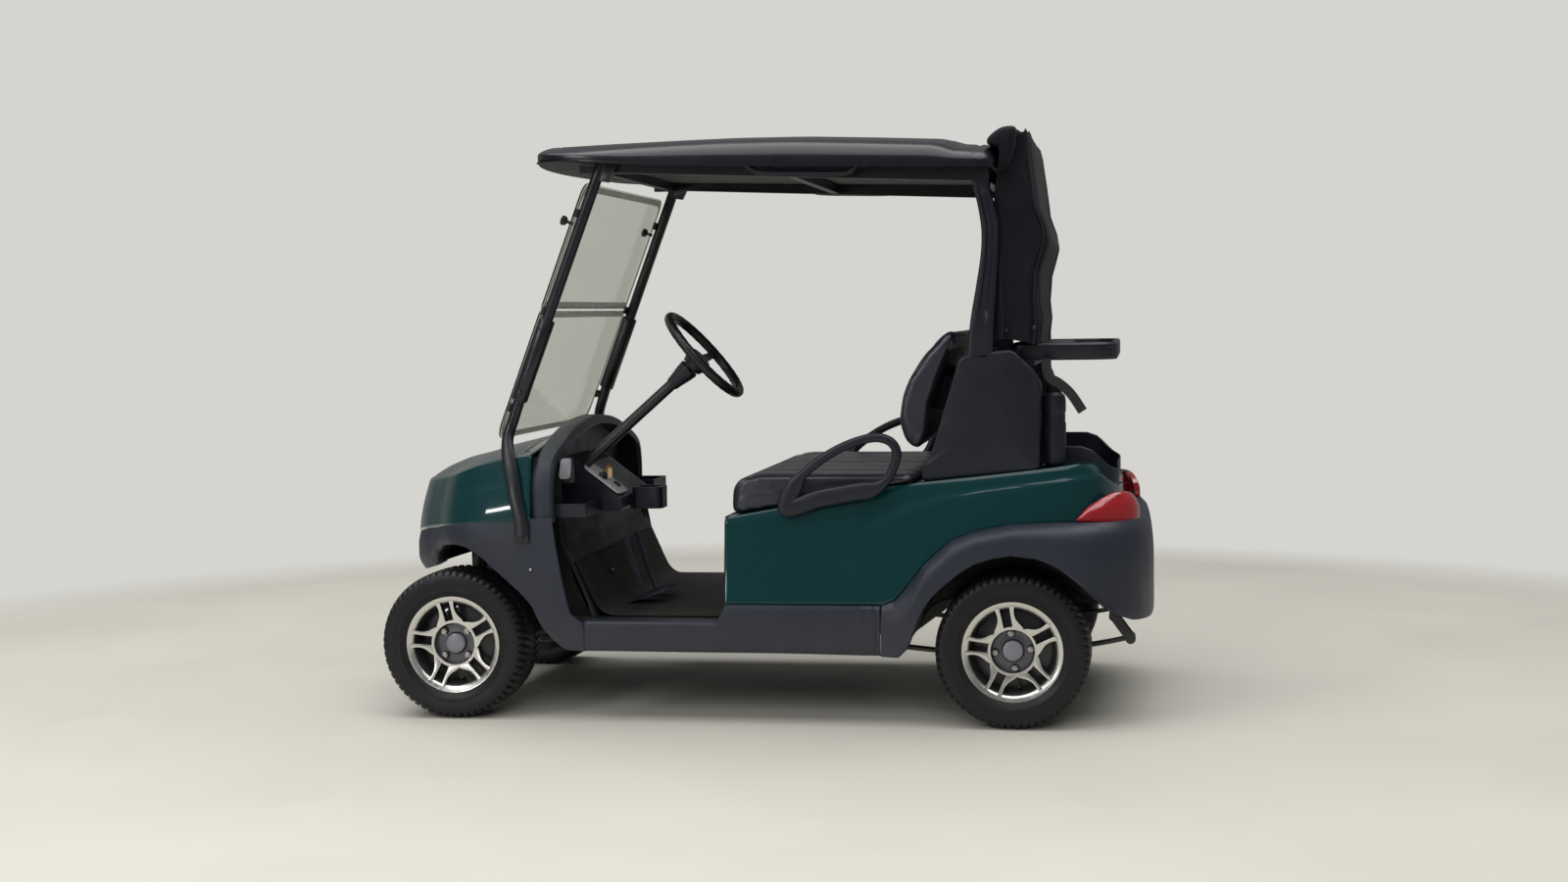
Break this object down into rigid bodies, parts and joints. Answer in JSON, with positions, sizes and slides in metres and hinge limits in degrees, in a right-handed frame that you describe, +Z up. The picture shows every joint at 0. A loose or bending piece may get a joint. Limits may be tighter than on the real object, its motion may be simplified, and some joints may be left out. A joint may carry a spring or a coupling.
{
  "type": "golf cart",
  "caption": "Two-seat golf cart with crowned roof, folding windshield, alloy wheels, bag rack with a hanging bag cover, and working steering.",
  "frame": {"origin": "on the ground, at the middle of the overall length and width", "axes": "+X forward, +Y to the driver's left side, +Z up"},
  "size_m": [2.3243, 1.2006, 1.7439],
  "materials": {
    "green_paint": "glossy dark green paint",
    "grey_plastic": "dark grey grained plastic",
    "black_plastic": "black grained plastic",
    "black_steel": "black powder coat",
    "cast_parts": "bare cast and machined metal",
    "battery_case": "moulded battery cases",
    "rubber": "ribbed black rubber",
    "vinyl": "black vinyl over foam",
    "lamp_red": "clear red lens",
    "smoked_acrylic": "smoke tinted sheet",
    "cover_fabric": "black woven fabric",
    "bottle_plastic": "black bottle",
    "steering_grip": "black soft grip",
    "plate_silver": "silver-grey plate",
    "alloy": "machined faces with dark grey pockets",
    "tyre": "black rubber"
  },
  "bodies": {
    "chassis": {"armrests": "black_plastic", "bag_cover": "cover_fabric", "bag_cover_bow": "cover_fabric", "bag_rack": "black_plastic", "bagwell_liner": "black_plastic", "battery_pack": "battery_case", "chassis_frame": "black_steel", "cowl_arch": "grey_plastic", "dash_panel": "black_plastic", "floor_mat": "rubber", "floor_pan": "black_plastic", "front_fascia": "grey_plastic", "front_hood": "green_paint", "front_struts": "black_steel", "front_suspension": "black_steel", "key_plate": "plate_silver", "leaf_springs": "black_steel", "pedals": "black_plastic", "rack_housing": "cast_parts", "rear_body": "green_paint", "rear_fender_left": "grey_plastic", "rear_fender_right": "grey_plastic", "rear_supports": "black_plastic", "roof": "black_plastic", "roof_frame": "black_steel", "roof_handles": "black_plastic", "roof_liner": "black_plastic", "sand_bottle": "bottle_plastic", "seat_back": "vinyl", "seat_back_panel": "black_plastic", "seat_cushion": "vinyl", "shocks_front": "black_steel", "shocks_rear": "black_steel", "side_sills": "grey_plastic", "spring_shackles": "black_steel", "steering_column": "black_steel", "tail_lamps": "lamp_red", "transaxle": "cast_parts", "windshield_clips": "black_steel", "windshield_lower": "smoked_acrylic", "windshield_upper": "smoked_acrylic"},
    "wheel_front_left": {"tyre_front_left": "tyre", "rim_front_left": "alloy", "hub_front_left": "cast_parts"},
    "wheel_front_right": {"tyre_front_right": "tyre", "rim_front_right": "alloy", "hub_front_right": "cast_parts"},
    "wheel_rear_left": {"tyre_rear_left": "tyre", "rim_rear_left": "alloy", "drum_rear_left": "cast_parts"},
    "wheel_rear_right": {"tyre_rear_right": "tyre", "rim_rear_right": "alloy", "drum_rear_right": "cast_parts"},
    "knuckle_left": {"knuckle_left": "black_steel"},
    "knuckle_right": {"knuckle_right": "black_steel"},
    "rack": {"steering_rack": "cast_parts"},
    "steering_wheel": {"steering_wheel": "steering_grip"}
  },
  "joints": [
    {"name": "steering_turn", "type": "hinge", "parent": "chassis", "child": "steering_wheel", "pos_m": [0.176, 0.29, 1.072], "axis": [-0.7547, 0, 0.6561], "range_deg": [-450, 450]},
    {"name": "kingpin_left", "type": "hinge", "parent": "chassis", "child": "knuckle_left", "pos_m": [0.902, 0.362, 0.222], "axis": [0, 0, 1], "range_deg": [-28.5, 28.5]},
    {"name": "kingpin_right", "type": "hinge", "parent": "chassis", "child": "knuckle_right", "pos_m": [0.902, -0.362, 0.222], "axis": [0, 0, 1], "range_deg": [-28.5, 28.5]},
    {"name": "rack_slide", "type": "slide", "parent": "chassis", "child": "rack", "axis": [0, 1, 0], "range_m": [-0.053, 0.053]},
    {"name": "spin_front_left", "type": "hinge", "parent": "knuckle_left", "child": "wheel_front_left", "pos_m": [0.902, 0.473, 0.222], "axis": [0, 1, 0], "continuous": true},
    {"name": "spin_front_right", "type": "hinge", "parent": "knuckle_right", "child": "wheel_front_right", "pos_m": [0.902, -0.473, 0.222], "axis": [0, 1, 0], "continuous": true},
    {"name": "spin_rear_left", "type": "hinge", "parent": "chassis", "child": "wheel_rear_left", "pos_m": [-0.762, 0.488, 0.222], "axis": [0, 1, 0], "continuous": true},
    {"name": "spin_rear_right", "type": "hinge", "parent": "chassis", "child": "wheel_rear_right", "pos_m": [-0.762, -0.488, 0.222], "axis": [0, 1, 0], "continuous": true}
  ],
  "couplings": [
    {"joint": "kingpin_left", "follows": "steering_turn", "ratio": 0.062222},
    {"joint": "kingpin_right", "follows": "steering_turn", "ratio": 0.062222},
    {"joint": "rack_slide", "follows": "steering_turn", "m_per_rad": -0.0066209}
  ]
}
